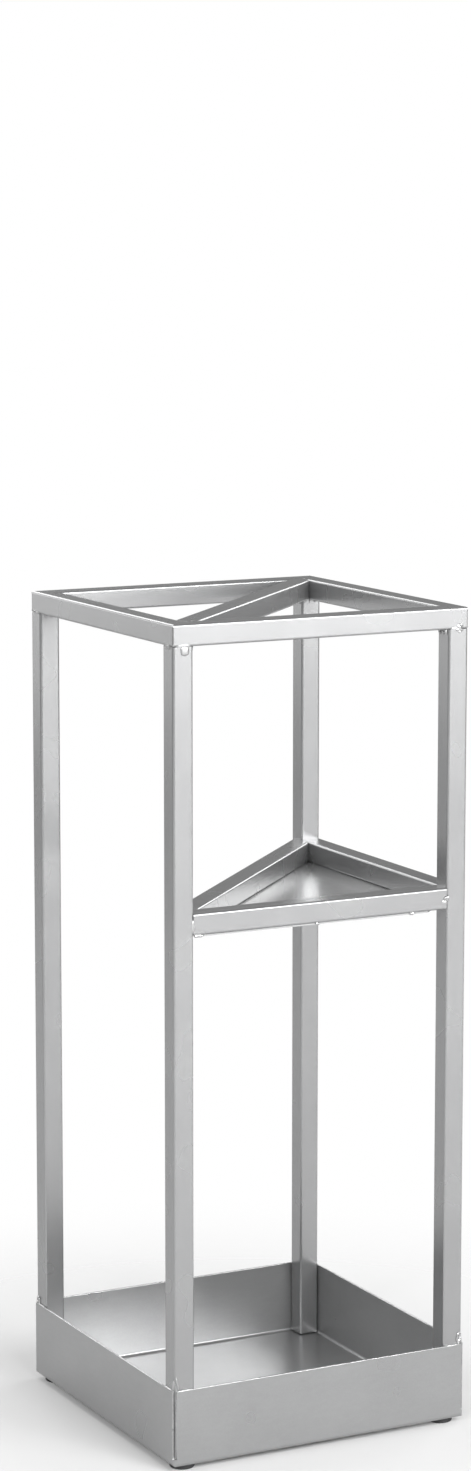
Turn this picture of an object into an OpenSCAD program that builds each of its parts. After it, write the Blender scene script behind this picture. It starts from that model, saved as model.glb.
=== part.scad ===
// Umbrella stand: a welded frame of square tube that stands in a folded sheet-metal tray.
// The frame's top is split by a diagonal rail, and the front right half has a raised shelf.
// Millimetres. The origin is on the floor under the middle of the tray, the front faces -Y.

/* [Overall] */
// Width of the tube frame over its posts
frame_w = 210; // [150:5:320]
// Depth of the tube frame over its posts
frame_d = 210; // [150:5:320]
// Height from the floor to the top of the frame
stand_h = 540; // [440:5:700]

/* [Square tube] */
// Outside size of the square tube
tube = 14; // [12:1:20]
// Wall of the square tube
tube_wall = 1; // [0.8:0.1:1.4]
// Outside corner radius of the square tube
tube_r = 1.5; // [1.5:0.1:3]

/* [Shelf] */
// Height from the floor to the top of the shelf's rails
shelf_h = 359; // [200:1:400]
// Thickness of the sheet under the shelf's rails
plate_t = 1; // [0.8:0.1:2]
// Set-back of the sheet from the outer faces of the rails
plate_inset = 1; // [0.5:0.5:4]
// Gap between the square ends of the sheet and the posts beside them
plate_end_gap = 4; // [1:0.5:10]
// Clearance between the sheet's cut corner and the post in that corner
plate_corner_gap = 0.3; // [0.2:0.1:2]

/* [Tray] */
// Height of the tray's walls over its underside
tray_h = 50; // [30:1:90]
// Thickness of the tray's sheet
sheet_t = 1.2; // [0.8:0.1:2]
// Inside radius of the tray's bends and upright corners
bend_r = 1.8; // [1.6:0.1:4]
// Clearance between the posts and the tray's walls
tray_gap = 0.3; // [0.2:0.1:1]
// How far each wall stops short of the tray's upright corner edges
corner_notch = 2.2; // [1.5:0.1:4]
// Height over the tray's underside at which the open corners begin
corner_base = 5.5; // [5:0.5:12]

/* [Feet] */
// Diameter of a foot
foot_d = 16; // [10:1:20]
// Height of a foot
foot_h = 3.5; // [2:0.5:8]
// Radius round the lower edge of a foot
foot_r = 1; // [0.4:0.1:1.5]
// Distance from the frame's outer faces to the middle of a foot
foot_inset = 10; // [10:1:30]

/* [Welds] */
// Leg of the weld that fills each upright corner edge of the top frame
corner_leg = 1; // [0.5:0.1:1.4]
// Radius of the beads in the inner corners under the top frame
fillet_bead_r = 2; // [1:0.1:2.5]
// Radius of the dab over the joint on each post's outer face
face_bead_r = 3; // [2:0.1:4]
// How far a dab stands proud of the tube's face
bead_proud = 0.7; // [0.3:0.1:1]
// Radius of the tacks that hold the shelf's sheet
tack_r = 1.5; // [1:0.1:2]
// Radius of the dabs that join the tray's corners to the posts
tray_bead_r = 1.6; // [1.2:0.1:1.8]

/* [Hidden] */
$fn = 48;
// Half sizes of the frame, over the posts and between the rails
half_w = frame_w / 2;
half_d = frame_d / 2;
inner_w = half_w - tube;
inner_d = half_d - tube;
// Undersides of the top frame and of the shelf's rails
top_under = stand_h - tube;
shelf_under = shelf_h - tube;
// The posts rest on the tray's bends, just over its floor
floor_z = foot_h + sheet_t;
post_seat = 0.05;
post_lift = bend_r - sqrt(bend_r * bend_r - pow(bend_r - tray_gap, 2)) + post_seat;
post_z = floor_z + post_lift;
tray_top = foot_h + tray_h;
tray_over = tray_gap + sheet_t;
// Angle of both diagonal rails, from the front left corner to the back right one
diagonal_a = atan2(inner_d, inner_w);
diagonal_l = 2 * norm([inner_w, inner_d]);
// Outline of the shelf's sheet: its front edge, its right edge, then its long edge
plate_front = plate_inset - half_d;
plate_right = half_w - plate_inset;
plate_left = plate_end_gap - inner_w;
plate_back = inner_d - plate_end_gap;
plate_cut = inner_w + inner_d - plate_corner_gap * sqrt(2);
long_edge = tube / 2 - plate_inset;
plate_points = [
  [plate_left, plate_front],
  [plate_cut + plate_front, plate_front],
  [plate_right, plate_right - plate_cut],
  [plate_right, plate_back],
  [(cos(diagonal_a) * plate_back - long_edge) / sin(diagonal_a), plate_back],
  [plate_left, (sin(diagonal_a) * plate_left + long_edge) / cos(diagonal_a)]
];
// Where the tacks are along each edge of the sheet, as shares of the edge
tack_places = [0.02, 0.5, 0.91];
// Cutting shapes reach this far past what they cut
past = 2;
corners = [for (y = [-1, 1]) for (x = [-1, 1]) [x, y]];

// Rectangle with rounded corners, about its centre
module rounded(w, d, r) {
  square([w, d - 2 * r], center = true);
  square([w - 2 * r, d], center = true);
  for (c = corners)
    translate([c[0] * (w / 2 - r), c[1] * (d / 2 - r)])
      circle(r);
}

// Section of the square tube; solid = true gives its outline, to cut welds with
module tube_section(solid = false) {
  difference() {
    rounded(tube, tube, tube_r);
    if (!solid)
      rounded(tube - 2 * tube_wall, tube - 2 * tube_wall, tube_r - tube_wall);
  }
}

// Square tube along X, about its centre
module tube_x(length, solid = false) {
  rotate([90, 0, 90])
    linear_extrude(length, center = true)
      tube_section(solid);
}

// Places children in a corner of the frame, with the frame's outer faces at x = 0 and y = 0
// and the frame itself on the -X, -Y side, mirrored so that all four corners match
module at_corner(c) {
  mirror([c[0] < 0 ? 1 : 0, 0, 0])
    mirror([0, c[1] < 0 ? 1 : 0, 0])
      translate([half_w, half_d, 0])
        children();
}

// ---- Top frame: four mitred rails and a diagonal

// One rail with its outer face towards -Y and both ends mitred
module top_rail(length) {
  out = length / 2 + past;
  in = length / 2 - tube - past;
  edge = tube / 2 + past;
  difference() {
    intersection() {
      tube_x(length);
      linear_extrude(tube + past, center = true)
        polygon([[-out, -edge], [out, -edge], [in, edge], [-in, edge]]);
    }
    for (x = [-1, 1])
      translate([x * length / 2, -tube / 2, 0])
        cube([2 * corner_leg, 2 * corner_leg, tube - 2 * tube_r], center = true);
  }
}

module top_rail_front() {
  color("silver")
    translate([0, tube / 2 - half_d, stand_h - tube / 2])
      top_rail(frame_w);
}

module top_rail_right() {
  color("silver")
    translate([half_w - tube / 2, 0, stand_h - tube / 2])
      rotate([0, 0, 90])
        top_rail(frame_d);
}

module top_rail_back() {
  rotate([0, 0, 180])
    top_rail_front();
}

module top_rail_left() {
  rotate([0, 0, 180])
    top_rail_right();
}

// Its ends are cut to points that fill the inner corners of the mitred rails
module top_diagonal_rail() {
  color("silver")
    translate([0, 0, stand_h - tube / 2])
      intersection() {
        rotate([0, 0, diagonal_a])
          tube_x(diagonal_l + 2 * tube);
        cube([2 * inner_w, 2 * inner_d, tube + past], center = true);
      }
}

// ---- Posts

module post(c, solid = false) {
  color("silver")
    translate([c[0] * (half_w - tube / 2), c[1] * (half_d - tube / 2), post_z])
      linear_extrude(top_under - post_z)
        tube_section(solid);
}

module post_front_left() {
  post([-1, -1]);
}

module post_front_right() {
  post([1, -1]);
}

module post_back_right() {
  post([1, 1]);
}

module post_back_left() {
  post([-1, 1]);
}

// ---- Shelf: three rails over a sheet that closes the triangle between them

module shelf_rail_front(solid = false) {
  color("silver")
    translate([0, tube / 2 - half_d, shelf_h - tube / 2])
      tube_x(2 * inner_w, solid);
}

module shelf_rail_right(solid = false) {
  color("silver")
    translate([half_w - tube / 2, 0, shelf_h - tube / 2])
      rotate([0, 0, 90])
        tube_x(2 * inner_d, solid);
}

// Each end is one flat cut, against a post and the inner face of the rail beside it
module shelf_diagonal_rail(solid = false) {
  color("silver")
    translate([0, 0, shelf_h - tube / 2])
      intersection() {
        rotate([0, 0, diagonal_a])
          tube_x(diagonal_l + 4 * tube, solid);
        translate([-frame_w, -inner_d, -tube])
          cube([frame_w + inner_w, frame_d + inner_d, 2 * tube]);
      }
}

// A triangle with all its corners cut off, clear of the three posts
module shelf_plate() {
  color("silver")
    translate([0, 0, shelf_under - plate_t])
      linear_extrude(plate_t)
        polygon(plate_points);
}

// ---- Base tray: one folded sheet with round bends and open upright corners

// Block with rounded bottom edges and upright corners, its bottom at z = 0 and its top past h
module tray_block(w, d, h, r) {
  intersection() {
    rotate([90, 0, 0])
      linear_extrude(d + past, center = true)
        tray_side(w, h, r);
    rotate([90, 0, 90])
      linear_extrude(w + past, center = true)
        tray_side(d, h, r);
    linear_extrude(h)
      rounded(w, d, r);
  }
}

// Outline of the block seen from one side, with its two lower corners rounded
module tray_side(w, h, r) {
  translate([-w / 2, r])
    square([w, h]);
  translate([r - w / 2, 0])
    square([w - 2 * r, h]);
  for (x = [-1, 1])
    translate([x * (w / 2 - r), r])
      circle(r);
}

module base_tray() {
  outer_w = frame_w + 2 * tray_over;
  outer_d = frame_d + 2 * tray_over;
  color("silver")
    translate([0, 0, foot_h])
      difference() {
        tray_block(outer_w, outer_d, tray_h, bend_r + sheet_t);
        translate([0, 0, sheet_t])
          tray_block(outer_w - 2 * sheet_t, outer_d - 2 * sheet_t, tray_h, bend_r);
        for (c = corners)
          translate([c[0] * outer_w / 2, c[1] * outer_d / 2, corner_base + tray_h / 2])
            cube([2 * corner_notch, 2 * corner_notch, tray_h], center = true);
      }
}

// ---- Feet: round pads under the tray's corners

module foot(c) {
  color("dimgray")
    translate([c[0] * (half_w - foot_inset), c[1] * (half_d - foot_inset), 0])
      rotate_extrude() {
        square([foot_d / 2 - foot_r, foot_h]);
        translate([0, foot_r])
          square([foot_d / 2, foot_h - foot_r]);
        translate([foot_d / 2 - foot_r, foot_r])
          circle(foot_r);
      }
}

module foot_front_left() {
  foot([-1, -1]);
}

module foot_front_right() {
  foot([1, -1]);
}

module foot_back_right() {
  foot([1, 1]);
}

module foot_back_left() {
  foot([-1, 1]);
}

// ---- Welds

// A row of n round beads along X, about the origin
module bead_row(n, r) {
  for (i = [0:n - 1])
    translate([(i - (n - 1) / 2) * 1.3 * r, 0, 0])
      sphere(r);
}

// Ground flush: a quarter-round strip in the upright edge of each mitred corner
module top_corner_welds() {
  color("silver")
    for (c = corners)
      at_corner(c)
        translate([-corner_leg, -corner_leg, top_under + tube_r])
          intersection() {
            cylinder(tube - 2 * tube_r, r = corner_leg);
            cube([corner_leg, corner_leg, tube - 2 * tube_r]);
          }
}

// Under the top frame: beads in both inner corners of each post, a dab on its outer face
module post_top_welds() {
  color("silver")
    for (c = corners)
      difference() {
        at_corner(c) {
          translate([-tube, -tube / 2, top_under])
            rotate([0, 0, 90])
              bead_row(3, fillet_bead_r);
          translate([-tube / 2, -tube, top_under])
            bead_row(3, fillet_bead_r);
          translate([-tube / 2, bead_proud - face_bead_r, top_under])
            sphere(face_bead_r);
        }
        post(c, true);
        at_corner(c)
          translate([-2 * tube, -2 * tube, top_under])
            cube([2 * tube, 2 * tube, tube]);
      }
}

// Outlines of the shelf's rails and of the posts that they meet
module shelf_outlines() {
  shelf_rail_front(true);
  shelf_rail_right(true);
  shelf_diagonal_rail(true);
  for (c = [[-1, -1], [1, -1], [1, 1]])
    post(c, true);
}

// Halfway up each end of the shelf's rails: a dab over the joint with the post
module shelf_joint_welds() {
  set_in = tack_r - bead_proud;
  color("silver")
    difference() {
      translate([0, 0, shelf_h - tube / 2])
        union() {
          for (x = [-1, 1])
            translate([x * inner_w, set_in - half_d, 0])
              sphere(tack_r);
          for (y = [-1, 1])
            translate([half_w - set_in, y * inner_d, 0])
              sphere(tack_r);
          translate([-inner_w - tube / 2 / sin(diagonal_a), -inner_d, 0])
            sphere(tack_r);
          translate([inner_w, inner_d + tube / 2 / cos(diagonal_a), 0])
            sphere(tack_r);
        }
      shelf_outlines();
    }
}

// Three tacks along each edge of the shelf's sheet, to the rail above it
module shelf_plate_tacks() {
  color("silver")
    difference() {
      for (i = [0, 2, 4])
        for (t = tack_places)
          translate(plate_points[i] * (1 - t) + plate_points[i + 1] * t)
            translate([0, 0, shelf_under - plate_t / 2])
              sphere(tack_r);
      shelf_plate();
      shelf_outlines();
    }
}

// A climbing row of dabs at each corner, from the tray's open corner up the edge of the post
module tray_corner_welds() {
  inset = tray_bead_r - tray_over + 0.1;
  color("silver")
    for (c = corners)
      difference() {
        at_corner(c)
          for (i = [0:3])
            translate([-inset, -inset, tray_top + (1.3 * i - 0.9) * tray_bead_r])
              sphere(tray_bead_r);
        post(c, true);
        base_tray();
      }
}

top_rail_front();
top_rail_right();
top_rail_back();
top_rail_left();
top_diagonal_rail();
post_front_left();
post_front_right();
post_back_right();
post_back_left();
shelf_rail_front();
shelf_rail_right();
shelf_diagonal_rail();
shelf_plate();
base_tray();
foot_front_left();
foot_front_right();
foot_back_right();
foot_back_left();
top_corner_welds();
post_top_welds();
shelf_joint_welds();
shelf_plate_tacks();
tray_corner_welds();
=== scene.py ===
"""Umbrella stand: a silver frame of square steel tube standing in a folded sheet-metal tray.

Metres, with the floor at z = 0, the front towards -Y and the left side towards -X.
"""
import math

import bpy
import numpy as np
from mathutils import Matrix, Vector


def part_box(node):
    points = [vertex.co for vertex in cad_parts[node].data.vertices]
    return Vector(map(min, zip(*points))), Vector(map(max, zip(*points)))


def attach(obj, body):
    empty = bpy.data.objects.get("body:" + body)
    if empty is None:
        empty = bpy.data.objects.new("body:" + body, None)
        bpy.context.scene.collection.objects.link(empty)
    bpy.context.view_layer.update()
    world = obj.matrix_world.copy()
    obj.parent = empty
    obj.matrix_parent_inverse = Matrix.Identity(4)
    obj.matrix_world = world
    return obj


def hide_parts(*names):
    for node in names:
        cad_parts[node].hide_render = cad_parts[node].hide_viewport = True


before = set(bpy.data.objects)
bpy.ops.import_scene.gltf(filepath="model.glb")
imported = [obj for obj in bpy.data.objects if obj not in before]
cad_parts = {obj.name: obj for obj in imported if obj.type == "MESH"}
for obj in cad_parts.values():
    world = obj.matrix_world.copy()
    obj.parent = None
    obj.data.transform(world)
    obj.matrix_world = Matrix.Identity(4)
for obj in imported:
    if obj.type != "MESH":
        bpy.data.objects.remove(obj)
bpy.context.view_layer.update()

# ---- Studio ---------------------------------------------------------------------------------
# A plain pale floor that fades into white all round, and soft white boxes. The camera stands to
# the front left, a little over the height of the stand's top.

SENSOR = 36.0
LENS = 89.26
AIM = (0.0064, 0.0267, 0.4462)
CAMERA_AZIMUTH = -27.40
CAMERA_ELEVATION = 8.66
CAMERA_DISTANCE = 2.4053


def around(azimuth, elevation, distance, middle):
    """Place at a distance from middle. Azimuth 0 is towards -Y, and grows towards +X."""
    a, e = math.radians(azimuth), math.radians(elevation)
    way = Vector((math.sin(a) * math.cos(e), -math.cos(a) * math.cos(e), math.sin(e)))
    return Vector(middle) + way * distance


def set_up(name, data, place, target):
    """Adds a camera or a lamp at place, with its -Z axis towards target."""
    thing = bpy.data.objects.new(name, data)
    thing.location = place
    thing.rotation_euler = (Vector(target) - Vector(place)).to_track_quat("-Z", "Y").to_euler()
    bpy.context.scene.collection.objects.link(thing)
    return thing


camera_data = bpy.data.cameras.new("camera")
camera_data.sensor_width = SENSOR
camera_data.lens = LENS
camera_place = around(CAMERA_AZIMUTH, CAMERA_ELEVATION, CAMERA_DISTANCE, AIM)
bpy.context.scene.camera = set_up("camera", camera_data, camera_place, AIM)
bpy.context.scene.view_settings.view_transform = "Standard"

# The white room lights the stand at this strength, and the camera sees it at 1.
STUDIO_GLOW = 0.27
world = bpy.data.worlds.new("studio")
world.use_nodes = True
glow = world.node_tree.nodes["Background"].inputs["Strength"]
world.node_tree.nodes["Background"].inputs["Color"].default_value = (1, 1, 1, 1)
seen = world.node_tree.nodes.new("ShaderNodeLightPath")
whiten = world.node_tree.nodes.new("ShaderNodeMath")
whiten.operation = "MULTIPLY_ADD"
world.node_tree.links.new(seen.outputs["Is Camera Ray"], whiten.inputs[0])
whiten.inputs[1].default_value = 1.0 - STUDIO_GLOW
whiten.inputs[2].default_value = STUDIO_GLOW
world.node_tree.links.new(whiten.outputs[0], glow)
bpy.context.scene.world = world

# The boxes stand round this place, and their light opens to nearly half a turn.
STAND_MIDDLE = (0, 0, 0.3)
SPREAD = 3.14
# name, azimuth, elevation, distance, width, height, watts, height that it is aimed at
SOFTBOXES = [
    ("front_right_box", 22, 17, 2.7, 1.3, 1.1, 44, 0.3),
    ("front_near_box", 27, 4, 1.6, 0.7, 0.35, 1.1, 0.5),
    ("front_high_box", 5, 34, 2.6, 1.4, 1.2, 46, 0.3),
    ("front_left_box", -50, 25, 2.8, 1.0, 1.2, 40, 0.3),
    ("left_box", -104, 22, 2.3, 1.2, 1.0, 3, 0.3),
    ("back_left_near_box", -152, 4, 1.6, 0.7, 0.35, 0.75, 0.5),
    ("back_left_box", -148, 14, 2.2, 0.9, 0.7, 3.5, 0.4),
    ("right_box", 108, 22, 2.6, 1.4, 1.2, 22, 0.3),
    ("back_box", 180, 30, 2.6, 1.4, 1.0, 14, 0.3),
    ("top_box", 190, 62, 2.4, 1.4, 1.4, 7, 0.3),
]
for name, azimuth, elevation, distance, width, height, watts, aim_height in SOFTBOXES:
    box_light = bpy.data.lights.new(name, "AREA")
    box_light.shape = "RECTANGLE"
    box_light.size = width
    box_light.size_y = height
    box_light.energy = watts
    box_light.spread = SPREAD
    place = around(azimuth, elevation, distance, STAND_MIDDLE)
    lamp = set_up(name, box_light, place, (0, 0, aim_height))
    lamp.visible_camera = False

FLOOR_RADIUS = 7.0
FLOOR_RINGS = 12
FLOOR_SIDES = 64
FLOOR_GREY = (0.64, 0.64, 0.64)
# How far from the middle the floor starts to fade for the camera, and where it is gone.
FADE_START = 0.05
FADE_END = 0.50


def round_floor(radius):
    """Disc mesh: ring k is at radius x (k / FLOOR_RINGS)^2, its places at equal angles t."""
    t = np.linspace(0, 2 * np.pi, FLOOR_SIDES, endpoint=False)
    rings = radius * (np.arange(1, FLOOR_RINGS + 1) / FLOOR_RINGS) ** 2
    r, t = np.meshgrid(rings, t, indexing="ij")
    places = np.stack([r * np.cos(t), r * np.sin(t), 0 * r], axis=-1).reshape(-1, 3)
    here = np.arange(FLOOR_RINGS * FLOOR_SIDES).reshape(FLOOR_RINGS, FLOOR_SIDES)
    after = np.roll(here, -1, axis=1)
    quads = np.stack([here[:-1], here[1:], after[1:], after[:-1]], axis=-1).reshape(-1, 4)
    mesh = bpy.data.meshes.new("floor")
    mesh.from_pydata(places.tolist(), [], quads.tolist() + [here[0].tolist()])
    return mesh


studio_floor = bpy.data.objects.new("studio_floor", round_floor(FLOOR_RADIUS))
bpy.context.scene.collection.objects.link(studio_floor)
paper = bpy.data.materials.new("floor_paper")
paper.use_nodes = True
paper_shader = paper.node_tree.nodes["Principled BSDF"]
paper_shader.inputs["Base Color"].default_value = (*FLOOR_GREY, 1)
paper_shader.inputs["Roughness"].default_value = 1.0
paper_shader.inputs["Specular IOR Level"].default_value = 0.0
floor_place = paper.node_tree.nodes.new("ShaderNodeTexCoord")
from_middle = paper.node_tree.nodes.new("ShaderNodeVectorMath")
from_middle.operation = "LENGTH"
fade = paper.node_tree.nodes.new("ShaderNodeMapRange")
fade.interpolation_type = "SMOOTHSTEP"
fade.inputs["From Min"].default_value = FADE_START
fade.inputs["From Max"].default_value = FADE_END
fade.inputs["To Min"].default_value = 0.0
fade.inputs["To Max"].default_value = -1.0
floor_seen = paper.node_tree.nodes.new("ShaderNodeLightPath")
thin = paper.node_tree.nodes.new("ShaderNodeMath")
thin.operation = "MULTIPLY_ADD"
thin.inputs[2].default_value = 1.0
paper.node_tree.links.new(floor_place.outputs["Object"], from_middle.inputs[0])
paper.node_tree.links.new(from_middle.outputs["Value"], fade.inputs["Value"])
paper.node_tree.links.new(floor_seen.outputs["Is Camera Ray"], thin.inputs[0])
paper.node_tree.links.new(fade.outputs["Result"], thin.inputs[1])
paper.node_tree.links.new(thin.outputs[0], paper_shader.inputs["Alpha"])
studio_floor.data.materials.append(paper)

# ---- Tube frame: top rails, posts and shelf rails --------------------------------------------
# Square steel tube, mitred or butted and welded, then powder coated in satin silver. The coat
# is aluminium flake in clear resin: a fine sparkle, a faint orange peel and a few specks.


class Value:
    """A shader socket that can be used in Python sums; each sum adds one Math node."""

    def __init__(self, paint, socket):
        self.paint = paint
        self.socket = socket

    def sum(self, operation, *values):
        return self.paint.node("ShaderNodeMath", {"operation": operation}, values)

    def __add__(self, other):
        return self.sum("ADD", self, other)

    def __sub__(self, other):
        return self.sum("SUBTRACT", self, other)

    def __rsub__(self, other):
        return self.sum("SUBTRACT", other, self)

    def __mul__(self, other):
        return self.sum("MULTIPLY", self, other)

    def __gt__(self, other):
        return self.sum("GREATER_THAN", self, other)

    __radd__ = __add__
    __rmul__ = __mul__


class Paint:
    """A material being mixed: its nodes come from node(), its shader's sockets from set()."""

    def __init__(self, name):
        self.material = bpy.data.materials.new(name)
        self.material.use_nodes = True
        self.nodes = self.material.node_tree.nodes
        self.links = self.material.node_tree.links
        self.shader = self.nodes["Principled BSDF"]

    def fill(self, socket, value):
        if isinstance(value, Value):
            self.links.new(value.socket, socket)
        else:
            socket.default_value = value

    def node(self, kind, settings=None, inputs=None, output=0):
        """Adds a node. inputs is a list, in the order of its sockets, or a dict by name."""
        made = self.nodes.new(kind)
        for name, value in (settings or {}).items():
            setattr(made, name, value)
        pairs = inputs.items() if isinstance(inputs, dict) else enumerate(inputs or ())
        for place, value in pairs:
            self.fill(made.inputs[place], value)
        return Value(self, made.outputs[output])

    def set(self, **values):
        for name, value in values.items():
            self.fill(self.shader.inputs[name.replace("_", " ")], value)

    def places(self, stretch=(1, 1, 1)):
        """Object coordinates in metres, for a pattern that is stretched by axis."""
        here = self.node("ShaderNodeTexCoord", output="Object")
        inputs = {"Vector": here, "Scale": stretch}
        return self.node("ShaderNodeMapping", {"vector_type": "TEXTURE"}, inputs)

    def noise(self, where, size, detail=2.0, roughness=0.5):
        """Smooth noise from 0 to 1, whose lumps are about size across."""
        inputs = {"Vector": where, "Scale": 1 / size, "Detail": detail, "Roughness": roughness}
        return self.node("ShaderNodeTexNoise", inputs=inputs, output="Fac")

    def ramp(self, value, low, high, to_low=0.0, to_high=1.0):
        """Straight ramp from to_low at low to to_high at high, level beyond both."""
        return self.node("ShaderNodeMapRange", {"clamp": True}, [value, low, high, to_low, to_high])

    def tint(self, amount, dark, light):
        """Colour between dark and light, each either three numbers or another colour's Value."""
        settings = {"data_type": "RGBA", "clamp_factor": False}
        dark, light = [c if isinstance(c, Value) else (*c, 1) for c in (dark, light)]
        return self.node("ShaderNodeMix", settings, {0: amount, 6: dark, 7: light}, 2)

    def bump(self, height, depth):
        """Normal of a relief: height is 0 to 1, and depth is what 1 stands for, in metres."""
        inputs = {"Height": height, "Distance": depth, "Strength": 1.0}
        return self.node("ShaderNodeBump", inputs=inputs)


SILVER_DARK = (0.305, 0.307, 0.310)
SILVER_LIGHT = (0.400, 0.402, 0.404)
SILVER_METAL = 0.78
# Sizes in metres: of a flake, a lump of the peel, a cloud, the width of a streak.
FLAKE = 0.00045
PEEL = 0.0026
CLOUD = 0.035
STREAK = 0.0030
# How far each of them moves the tone, from end to end.
FLAKE_TONE = 0.25
CLOUD_TONE = 0.40
STREAK_TONE = 0.25
# Specks of dust: few cells have one, and it is solid and then gone at these shares of a cell.
SPECK_SPACING = 0.011
SPECK_SHARE = 0.12
SPECK_SOLID = 0.026
SPECK_GONE = 0.042
SPECK_COVER = 0.75
SPECK_GREY = (0.07, 0.068, 0.065)
# How far the clouds move the roughness, from end to end.
CLOUD_ROUGHNESS = 0.03


def silver_coat(name, satin=0.27, peel_depth=0.000007, streak=(1, 1, 14), painted_light_lift=0.0):
    """Tone = 0.5 + lift + flake sparkle + slow clouds + faint drawing streaks, then the specks.
    The lift is painted light: a lighter tone standing in for the light that a flat sheet reflects.
    satin is its roughness, and streak how much longer the streaks are than wide, by axis."""
    paint = Paint(name)
    where = paint.places()
    flakes = {"Vector": where, "Scale": 1 / FLAKE}
    flake = paint.node("ShaderNodeTexVoronoi", inputs=flakes, output="Color")
    sparkle = paint.node("ShaderNodeSeparateColor", inputs=[flake], output=0)
    cloud = paint.noise(where, CLOUD, 1.0)
    peel = paint.noise(where, PEEL, 0.0)
    lines = paint.noise(paint.places(streak), STREAK, 1.0)
    cells = {"Vector": where, "Scale": 1 / SPECK_SPACING}
    cell = paint.node("ShaderNodeTexVoronoi", inputs=cells, output="Color")
    pick = paint.node("ShaderNodeSeparateColor", inputs=[cell], output=1)
    near = paint.node("ShaderNodeTexVoronoi", inputs=cells, output="Distance")
    speck = paint.ramp(near, SPECK_SOLID, SPECK_GONE, 1.0, 0.0) * (pick > 1 - SPECK_SHARE)
    # The lift is painted light: a lighter tone for a sheet that reflects more light.
    tone = 0.5 + painted_light_lift + (sparkle - 0.5) * FLAKE_TONE
    tone = tone + (cloud - 0.5) * CLOUD_TONE + (lines - 0.5) * STREAK_TONE
    silver = paint.tint(tone, SILVER_DARK, SILVER_LIGHT)
    paint.set(Base_Color=paint.tint(speck * SPECK_COVER, silver, SPECK_GREY))
    paint.set(Metallic=SILVER_METAL)
    paint.set(Roughness=satin + (cloud - 0.5) * CLOUD_ROUGHNESS)
    paint.set(Normal=paint.bump(peel, peel_depth))
    return paint.material


POSTS = ("post_front_left", "post_front_right", "post_back_right", "post_back_left")
# The way that the tubes run, how long their streaks are by axis, and which tubes they are.
RUNS = {
    "along_x": ((14, 1, 1), ("top_rail_front", "top_rail_back", "shelf_rail_front")),
    "along_y": ((1, 14, 1), ("top_rail_left", "top_rail_right", "shelf_rail_right")),
    "across": ((6, 6, 1), ("top_diagonal_rail", "shelf_diagonal_rail")),
    "upright": ((1, 1, 14), POSTS),
}
for run, (streak, tubes) in RUNS.items():
    tube_coat = silver_coat("tube_coat_" + run, streak=streak)
    for name in tubes:
        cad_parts[name].material_slots[0].material = tube_coat

# ---- Shelf sheet -----------------------------------------------------------------------------
# A triangle of 1 mm sheet with cut corners, tacked under the shelf's rails and coated with them.
# Its coat is smoother than the tubes', and its tone is lifted brighter as painted light, for the light
# that the flat sheet reflects.

SHEET_PEEL = 0.000004
shelf_coat = silver_coat("shelf_silver_coat", 0.25, SHEET_PEEL, (1, 5, 1), 1.1)
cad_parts["shelf_plate"].material_slots[0].material = shelf_coat

# ---- Base tray -------------------------------------------------------------------------------
# One steel sheet folded up on all four sides, with open upright corners that show its cut edges,
# powder coated with the frame.

# Its tone is lifted a little brighter than the tubes', as painted light for the light that the tray's flat
# sheet reflects.
tray_coat = silver_coat("tray_silver_coat", 0.28, SHEET_PEEL, (3, 3, 1), 0.15)
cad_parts["base_tray"].material_slots[0].material = tray_coat

# ---- Feet ------------------------------------------------------------------------------------
# Round pads of matt black rubber, stuck under the tray's corners.

RUBBER_BLACK = (0.012, 0.012, 0.013)
RUBBER_GREY = (0.05, 0.05, 0.052)
RUBBER_GRAIN = 0.0006
RUBBER_DUST = 0.006
RUBBER_GRAIN_DEPTH = 0.00008
rubber = Paint("foot_rubber")
where = rubber.places()
grain = rubber.noise(where, RUBBER_GRAIN, 4.0)
dust = rubber.noise(where, RUBBER_DUST, 2.0)
rubber.set(Base_Color=rubber.tint(grain * 0.5 + dust * 0.5, RUBBER_BLACK, RUBBER_GREY))
rubber.set(Roughness=0.62 + dust * 0.25)
rubber.set(Normal=rubber.bump(grain, RUBBER_GRAIN_DEPTH))
for name in [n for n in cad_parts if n.startswith("foot_")]:
    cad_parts[name].material_slots[0].material = rubber.material

# ---- Welds: how a bead is shaped --------------------------------------------------------------
# Short electric-arc beads and dabs of filler, coated over with the frame. Those on the outer
# faces are dressed nearly flush; those inside are left as they froze, rippled and rough.

# These sections are in millimetres. A bead's grid has ALONG places on its length and ROUND round it.
MM = 0.001
ALONG = 26
ROUND = 20
# Half the frame's width, its tube, the inner face of that tube, and the joint under the top frame.
post_low, post_high = [np.array(corner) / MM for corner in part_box("post_front_left")]
HALF = -post_low[0]
TUBE = post_high[0] - post_low[0]
INNER = HALF - TUBE
TOP_JOINT = post_high[2]


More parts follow.
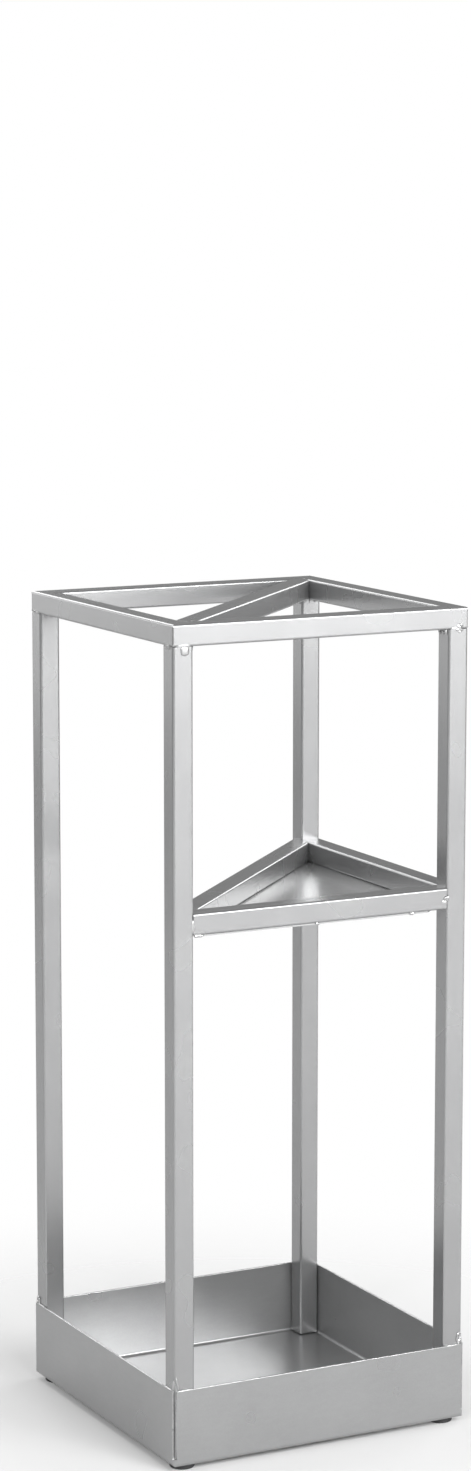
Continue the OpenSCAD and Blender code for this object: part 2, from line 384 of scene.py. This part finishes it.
def bead(start, end, out, half_width, height, square=2.0, ripple=0.0, rough=0.0, crater=0.0,
         tip=0.0, seed=0.0):
    """Closed surface along start to end, in millimetres. With s from 0 to 1 along it and t
    round it, a section is a superellipse of power square, w = half_width to each side and
    h = height out: x = w c |cos t|^(2/square), y = h c |sin t|^(2/square). The closing curve is
    c = (1 - |2s - 1|^4)^(1/2) (1 - tip s). y also swells by crescent ripples
    ripple cos(9 s L / 2w - 3 x^2 + seed) on a run of length L, and by slow waves of height
    rough. A crater sinks the crown by crater exp(-(distance from the middle / 0.45)^2). Both
    ends close on one pole."""
    start, end, out = np.array(start, float), np.array(end, float), np.array(out, float)
    run = end - start
    length = np.linalg.norm(run)
    way = run / length
    out = out - way * (out @ way)
    out = out / np.linalg.norm(out)
    side = np.cross(way, out)
    s = (1 - np.cos(np.linspace(0, np.pi, ALONG)[1:-1])) / 2
    t = np.linspace(0, 2 * np.pi, ROUND, endpoint=False)
    s, t = np.meshgrid(s, t, indexing="ij")
    close = np.sqrt(1 - np.abs(2 * s - 1) ** 4) * (1 - tip * s)
    x = np.sign(np.cos(t)) * np.abs(np.cos(t)) ** (2 / square)
    y = np.sign(np.sin(t)) * np.abs(np.sin(t)) ** (2 / square)
    swell = 1 + ripple * np.cos(9 * s * length / (2 * half_width) - 3 * x * x + seed)
    swell = swell + rough * np.sin(7 * s + 2.3 * seed + 2 * x) * np.cos(5 * x - 4 * s + seed)
    swell = swell + 0.6 * rough * np.sin(19 * s + 3 * t + 5 * seed)
    middle = np.hypot((s - 0.5) * 2, x) / 0.45
    sink = np.where(y > 0, crater * np.exp(-middle * middle), 0.0)
    wide = half_width * close * (1 + 0.5 * rough * np.sin(11 * s + 3 * seed)) * x
    tall = height * close * (swell - sink) * y
    skin = start + run * s[..., None] + side * wide[..., None] + out * tall[..., None]
    points = np.concatenate([[start], skin.reshape(-1, 3), [end]])
    rings = ALONG - 2
    here = 1 + np.arange(rings * ROUND).reshape(rings, ROUND)
    after = np.roll(here, -1, axis=1)
    quads = np.stack([here[:-1], here[1:], after[1:], after[:-1]], axis=-1).reshape(-1, 4)
    first = np.stack([np.zeros(ROUND, int), here[0], after[0]], axis=-1)
    last = np.stack([np.full(ROUND, len(points) - 1), after[-1], here[-1]], axis=-1)
    return points, quads, np.concatenate([first, last])


def at_corner(x_sign, y_sign, place):
    """A place given for the back right corner, mirrored to another corner of the frame."""
    return (place[0] * x_sign, place[1] * y_sign, place[2])


def join_beads(name, beads):
    """One mesh of all the beads, smooth, in metres, with every face turned outwards."""
    points, quads, triangles, base = [], [], [], 0
    for bead_points, bead_quads, bead_triangles in beads:
        points.append(bead_points * MM)
        quads += (bead_quads + base).tolist()
        triangles += (bead_triangles + base).tolist()
        base += len(bead_points)
    mesh = bpy.data.meshes.new(name)
    mesh.from_pydata(np.concatenate(points).tolist(), [], quads + triangles)
    mesh.polygons.foreach_set("use_smooth", np.ones(len(mesh.polygons), dtype=bool))
    piece = bpy.data.objects.new(name, mesh)
    bpy.context.scene.collection.objects.link(piece)
    return piece


# Size of the weld metal's clouds, the lump heights where a pit is full and where it ends, how
# metallic the crown and the pits are, and how deep the relief is.
WELD_CLOUD = 0.004
PIT_FULL = 0.30
PIT_END = 0.40
WELD_METAL = 0.92
PIT_METAL = 0.5
WELD_RELIEF = 0.00012
# The dressed welds' grey, then a lighter grey for the rough beads that is a painted highlight of their
# glossy lumps.
WELD_GREY = (0.42, 0.42, 0.42)
WELD_PAINTED_HIGHLIGHT = (0.68, 0.68, 0.68)


def weld_coat(name, satin, pit_size, light):
    """The frame's coat over rough metal: tone = 0.5 + lumps of pit_size + clouds - dark pits, and
    the pits are duller and rougher than the rest. The tone follows the relief, lighter on the lumps and
    darker in the pits: painted shade."""
    paint = Paint(name)
    where = paint.places()
    lumps = paint.noise(where, pit_size, 4.0, 0.6)
    cloud = paint.noise(where, WELD_CLOUD, 2.0)
    pits = paint.ramp(lumps, PIT_FULL, PIT_END, 1.0, 0.0)
    # Painted shade: the tone is darker where the relief is low, and darkest in the pits.
    tone = 0.5 + (lumps - 0.5) * 0.8 + (cloud - 0.5) * 0.5 - pits * 0.5
    paint.set(Base_Color=paint.tint(tone, SILVER_DARK, light))
    paint.set(Metallic=paint.ramp(pits, 0.0, 1.0, WELD_METAL, PIT_METAL))
    paint.set(Roughness=satin + (cloud - 0.5) * 0.2 + pits * 0.3)
    paint.set(Normal=paint.bump(lumps, WELD_RELIEF))
    return paint.material


dressed_weld_coat = weld_coat("dressed_weld_coat", 0.32, 0.0012, WELD_GREY)
# The rough beads' coat takes the lighter grey, as a painted highlight.
painted_highlight_weld_coat = weld_coat("painted_highlight_weld_coat", 0.19, 0.0009, WELD_PAINTED_HIGHLIGHT)


def add_weld(name, beads, coat, node=None):
    """Adds the beads as one piece, which stands for a weld node of the frame if one is named."""
    piece = join_beads(name, beads)
    piece.data.materials.append(coat)
    if node:
        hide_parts(node)
    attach(piece, "root")


# The signs of x and y at each corner of the stand.
CORNERS = {
    "front_left": (-1, -1),
    "front_right": (1, -1),
    "back_right": (1, 1),
    "back_left": (-1, 1),
}
X_OUT, Y_OUT, Z_OUT = np.eye(3)

# ---- Ground welds of the top frame's mitred corners -------------------------------------------
# Ground flush in each upright corner edge; the coat is a little duller and paler over them.

ground_weld_coat = weld_coat("ground_weld_coat", 0.34, 0.0016, WELD_GREY)
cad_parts["top_corner_welds"].material_slots[0].material = ground_weld_coat

# ---- Welds of the posts to the top frame ------------------------------------------------------
# Each post is butted under the frame. The joint is filled flush on its outer faces, with a
# drip, a proud blob or a dimple here and there, and has a rough bead in both inner corners.

# A filled seam stands FLUSH proud of the tube, is CREASE to each side of the joint, and keeps
# SEAM_START from the post's inner edge and SEAM_END from its outer one.
FLUSH = 0.02
CREASE = 1.3
SEAM_START = 0.7
SEAM_END = 1.9
SHORT_SEAM_END = 5.5
SEAM_RISE = 0.45
LUMP_SHIFTS = (0.6, 4.6, 8.4)
seams, top_beads = [], []
for number, (corner, (x, y)) in enumerate(CORNERS.items()):
    level = TOP_JOINT + SEAM_RISE
    edge = HALF - CREASE + FLUSH
    near = INNER + SEAM_START
    far = HALF - (SHORT_SEAM_END if corner == "front_right" else SEAM_END)
    seam = dict(half_width=CREASE, height=CREASE, square=7.0, rough=0.02, seed=number)
    along_x = [(near, edge, level), (far, edge, level)]
    along_y = [(edge, near, level), (edge, HALF - SEAM_END, level)]
    seams.append(bead(*[at_corner(x, y, end) for end in along_x], Y_OUT * y, **seam))
    seams.append(bead(*[at_corner(x, y, end) for end in along_y], X_OUT * x, **seam))
    wall = INNER - 0.1
    for shift in LUMP_SHIFTS:
        lump = dict(half_width=1.2, height=1.5, rough=0.22, ripple=0.12, seed=number + shift)
        head = (wall, INNER + 1.6 + shift, TOP_JOINT + 0.4)
        foot = (wall, INNER + 2.6 + shift, TOP_JOINT - 3.8)
        ends = [at_corner(x, y, head), at_corner(x, y, foot)]
        top_beads.append(bead(*ends, -X_OUT * x, tip=0.45, **lump))
        head = (INNER + 1.8 + shift, wall, TOP_JOINT + 0.4)
        foot = (INNER + 1.2 + shift, wall, TOP_JOINT - 3.0)
        ends = [at_corner(x, y, head), at_corner(x, y, foot)]
        top_beads.append(bead(*ends, -Y_OUT * y, tip=0.5, **lump))

# Single marks on the outer faces: each one's two ends, then how it is shaped.
DRIP = [(-96.9, -HALF + 0.05, TOP_JOINT + 0.6), (-96.7, -HALF + 0.05, TOP_JOINT - 5.6)]
seams.append(bead(*DRIP, -Y_OUT, 2.9, 0.8, square=3.2, rough=0.04))
BLOB = [(98.9, -HALF + 0.2, TOP_JOINT + 3.6), (98.3, -HALF + 0.2, TOP_JOINT - 2.3)]
top_beads.append(bead(*BLOB, -Y_OUT, 2.3, 1.1, rough=0.35, ripple=0.15, seed=2.0))
CRUMB = [(96.4, -HALF + 0.2, TOP_JOINT), (101.2, -HALF + 0.2, TOP_JOINT - 0.3)]
top_beads.append(bead(*CRUMB, -Y_OUT, 1.0, 0.9, rough=0.3, seed=4.0))
DIMPLE = [(-HALF + 0.1, 100.6, TOP_JOINT + 2.4), (-HALF + 0.1, 100.6, TOP_JOINT - 0.8)]
top_beads.append(bead(*DIMPLE, -X_OUT, 1.5, 0.7, crater=1.5, seed=1.0))
SMEAR = [(-HALF + 0.05, -98.5, TOP_JOINT + 1.6), (-HALF + 0.05, -98.0, TOP_JOINT - 1.8)]
seams.append(bead(*SMEAR, -X_OUT, 3.6, 0.4, square=3.0, rough=0.2, seed=3.0))
add_weld("post_top_beads", top_beads, painted_highlight_weld_coat, "post_top_welds")
add_weld("post_top_seams", seams, dressed_weld_coat)

# ---- Welds of the shelf's rails to the posts --------------------------------------------------
# Filled flush at the front left post but for a slot at the top; tacked halfway elsewhere, with
# the joint open over and under the tack.

rail_low, rail_high = [np.array(corner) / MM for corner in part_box("shelf_rail_front")]
SHELF_UNDER, SHELF_TOP = rail_low[2], rail_high[2]
SHELF_MID = (SHELF_UNDER + SHELF_TOP) / 2
GROOVE = 1.5
groove = dict(half_width=GROOVE, height=GROOVE, square=7.0, rough=0.02)
deep = HALF - GROOVE + FLUSH
joint = INNER + 0.4
# x, y, bottom, top, outward way
SHELF_FILLS = [
    (-joint, -deep, SHELF_UNDER + 0.3, SHELF_TOP - 3.6, -Y_OUT),
    (joint, -deep, SHELF_MID - 2.6, SHELF_MID + 0.6, -Y_OUT),
    (deep, -joint, SHELF_MID - 3.8, SHELF_MID + 3.0, X_OUT),
    (deep, joint, SHELF_MID - 5.5, SHELF_MID + 4.6, X_OUT),
]
fills, shelf_beads = [], []
for x, y, bottom, top, outward in SHELF_FILLS:
    fills.append(bead((x, y, bottom), (x, y, top), outward, **groove))
face = HALF - 0.1
# start, end, then outward way, half width, height, seed
SHELF_TACKS = [
    ((INNER - 2.3, -face, SHELF_MID + 0.1), (INNER + 1.5, -face, SHELF_MID + 1.6),
     -Y_OUT, 1.3, 1.35, 1.0),
    ((INNER - 3.6, -face, SHELF_MID - 1.6), (INNER + 0.6, -face, SHELF_MID - 2.4),
     -Y_OUT, 1.2, 0.5, 4.0),
    ((face, -INNER - 1.4, SHELF_MID - 1.2), (face, -INNER + 1.9, SHELF_MID - 0.4),
     X_OUT, 1.5, 0.9, 2.0),
    ((face, INNER - 1.6, SHELF_MID + 0.4), (face, INNER + 1.2, SHELF_MID - 0.9),
     X_OUT, 1.3, 0.8, 3.0),
]
for start, end, outward, half_width, height, seed in SHELF_TACKS:
    tack = bead(start, end, outward, half_width, height, ripple=0.1, rough=0.15, seed=seed)
    shelf_beads.append(tack)
# The diagonal rail's ends have an upright bead in the sharp corner that each makes with its post.
long_end = TUBE / 2 * math.sqrt(2)
SHARP_CORNERS = [(-INNER - long_end, -INNER, Y_OUT), (INNER, INNER + long_end, -X_OUT)]
for seed, (x, y, outward) in enumerate(SHARP_CORNERS):
    foot, head = (x, y, SHELF_MID - 4.0), (x, y, SHELF_MID + 4.0)
    shelf_beads.append(bead(foot, head, outward, 1.5, 1.3, ripple=0.2, rough=0.12, seed=seed))
add_weld("shelf_joint_beads", shelf_beads, painted_highlight_weld_coat, "shelf_joint_welds")
add_weld("shelf_joint_fills", fills, dressed_weld_coat)

# ---- Tacks of the shelf's sheet ---------------------------------------------------------------
# Three along each edge, from the sheet's cut edge to the rail over it. Two are longer runs, at
# the front left corner and at the back right one.

# start and end in x and y, outward way, size
TACKS = [
    ((-90.6, -104.2), (-83.6, -104.2), (0, -1), 1.0),
    ((-4.8, -104.2), (-1.6, -104.2), (0, -1), 1.2),
    ((63.6, -104.2), (67.0, -104.2), (0, -1), 1.1),
    ((104.2, -74.0), (104.2, -70.6), (1, 0), 1.2),
    ((104.2, 4.2), (104.2, 8.0), (1, 0), 1.0),
    ((104.2, 70.0), (104.2, 77.0), (1, 0), 1.1),
    ((-76.5, -67.8), (-73.9, -65.2), (-1, 1), 1.2),
    ((-5.6, 2.9), (-2.6, 5.9), (-1, 1), 1.1),
    ((75.0, 83.5), (78.4, 86.9), (-1, 1), 1.2),
]
tack_beads = []
for seed, (start, end, way, size) in enumerate(TACKS):
    level = SHELF_UNDER - 0.3
    outward = (way[0], way[1], -0.35)
    look = dict(half_width=size, height=size, ripple=0.14, rough=0.16, seed=seed)
    tack_beads.append(bead((*start, level), (*end, level), outward, **look))
add_weld("shelf_sheet_tack_beads", tack_beads, painted_highlight_weld_coat, "shelf_plate_tacks")

# ---- Welds of the posts to the tray -----------------------------------------------------------
# At each open corner two legs of weld climb the post's edge from the tray's walls, and a thin
# fillet runs along the top of each wall beside the post.

tray_low, tray_high = [np.array(corner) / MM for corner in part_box("base_tray")]
TRAY_HALF = tray_high[0]
TRAY_TOP = tray_high[2]
# How far the legs climb over the tray's walls at each corner.
CLIMBS = (9.2, 5.0, 6.0, 5.5)
LEG_HALF = 0.85
tray_beads = []
for number, (x, y) in enumerate(CORNERS.values()):
    climb = CLIMBS[number]
    leg = dict(ripple=0.16, rough=0.20, seed=number)
    front_leg = [(HALF - 3.1, HALF + 0.1, TRAY_TOP - 0.4), (HALF - 0.7, HALF - 0.1, TRAY_TOP + climb)]
    side_leg = [(HALF + 0.3, HALF - 2.6, TRAY_TOP - 3.0), (HALF - 0.1, HALF - 0.9, TRAY_TOP + 0.8 * climb)]
    ends = [at_corner(x, y, end) for end in front_leg]
    tray_beads.append(bead(*ends, (0.25 * x, y, 0), LEG_HALF, 1.05, tip=0.2, **leg))
    ends = [at_corner(x, y, end) for end in side_leg]
    tray_beads.append(bead(*ends, (x, 0.25 * y, 0), LEG_HALF, 0.98, tip=0.2, **leg))
    fillet = dict(half_width=0.75, height=0.7, rough=0.10, seed=number)
    front_run = [(INNER + 0.4, HALF + 0.5), (HALF - 1.5, HALF + 0.6)]
    side_run = [(HALF + 0.5, INNER + 0.4), (HALF + 0.6, HALF - 1.5)]
    for run in (front_run, side_run):
        ends = [at_corner(x, y, (*end, TRAY_TOP - 0.1)) for end in run]
        tray_beads.append(bead(*ends, Z_OUT, **fillet))

# A burst blob on the front right post, and one with a pit on the back left post.
CRATER = [(102.5, -HALF + 0.1, TRAY_TOP + 0.6), (103.2, -HALF + 0.1, TRAY_TOP + 8.2)]
tray_beads.append(bead(*CRATER, (0.15, -1, 0), 2.0, 1.25, rough=0.15, crater=1.7, seed=1.0))
RING = [(-HALF + 0.1, 101.9, TRAY_TOP - 1.0), (-HALF + 0.1, 102.3, TRAY_TOP + 5.2)]
tray_beads.append(bead(*RING, (-1, 0.2, 0), 2.5, 1.25, rough=0.12, crater=1.6, seed=2.0))
add_weld("tray_corner_beads", tray_beads, painted_highlight_weld_coat, "tray_corner_welds")

# ---- Rounded raw edges of the tray's sheet ----------------------------------------------------
# The coat gathers on the sheet's cut edges as a thin lip, along the top of each wall and
# down both sides of each open corner. The lip is coloured a lighter grey than the sheet, as a painted
# highlight.

# The sheet's thickness, how far the corner's cut reaches from the tray's corner, where the cut
# starts over the bend, and how far inside the middle of the sheet the lips beside it sit.
SHEET = 1.2
NOTCH = 2.2
SEAM_FOOT = tray_low[2] + 5.6
SET_IN = 0.12
lip = dict(half_width=SHEET / 2 - 0.01, height=0.45)
reach = TRAY_HALF - NOTCH - 0.1
middle = TRAY_HALF - SHEET / 2
lips = []
for sign in (-1, 1):
    lips.append(bead((-reach, sign * middle, TRAY_TOP), (reach, sign * middle, TRAY_TOP), Z_OUT, **lip))
    lips.append(bead((sign * middle, -reach, TRAY_TOP), (sign * middle, reach, TRAY_TOP), Z_OUT, **lip))
for x, y in CORNERS.values():
    foot, head = (reach, middle - SET_IN, SEAM_FOOT), (reach, middle - SET_IN, TRAY_TOP - 0.2)
    lips.append(bead(at_corner(x, y, foot), at_corner(x, y, head), X_OUT * x, **lip))
    foot, head = (middle - SET_IN, reach, SEAM_FOOT), (middle - SET_IN, reach, TRAY_TOP - 0.2)
    lips.append(bead(at_corner(x, y, foot), at_corner(x, y, head), Y_OUT * y, **lip))
tray_lips = join_beads("tray_edge_lips", lips)
# A lighter grey than the sheet's coat: a painted highlight on the lips.
EDGE_PAINTED_HIGHLIGHT = (0.62, 0.62, 0.62)
tray_lips.data.materials.append(weld_coat("tray_edge_highlight_coat", 0.24, 0.004, EDGE_PAINTED_HIGHLIGHT))
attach(tray_lips, "root")
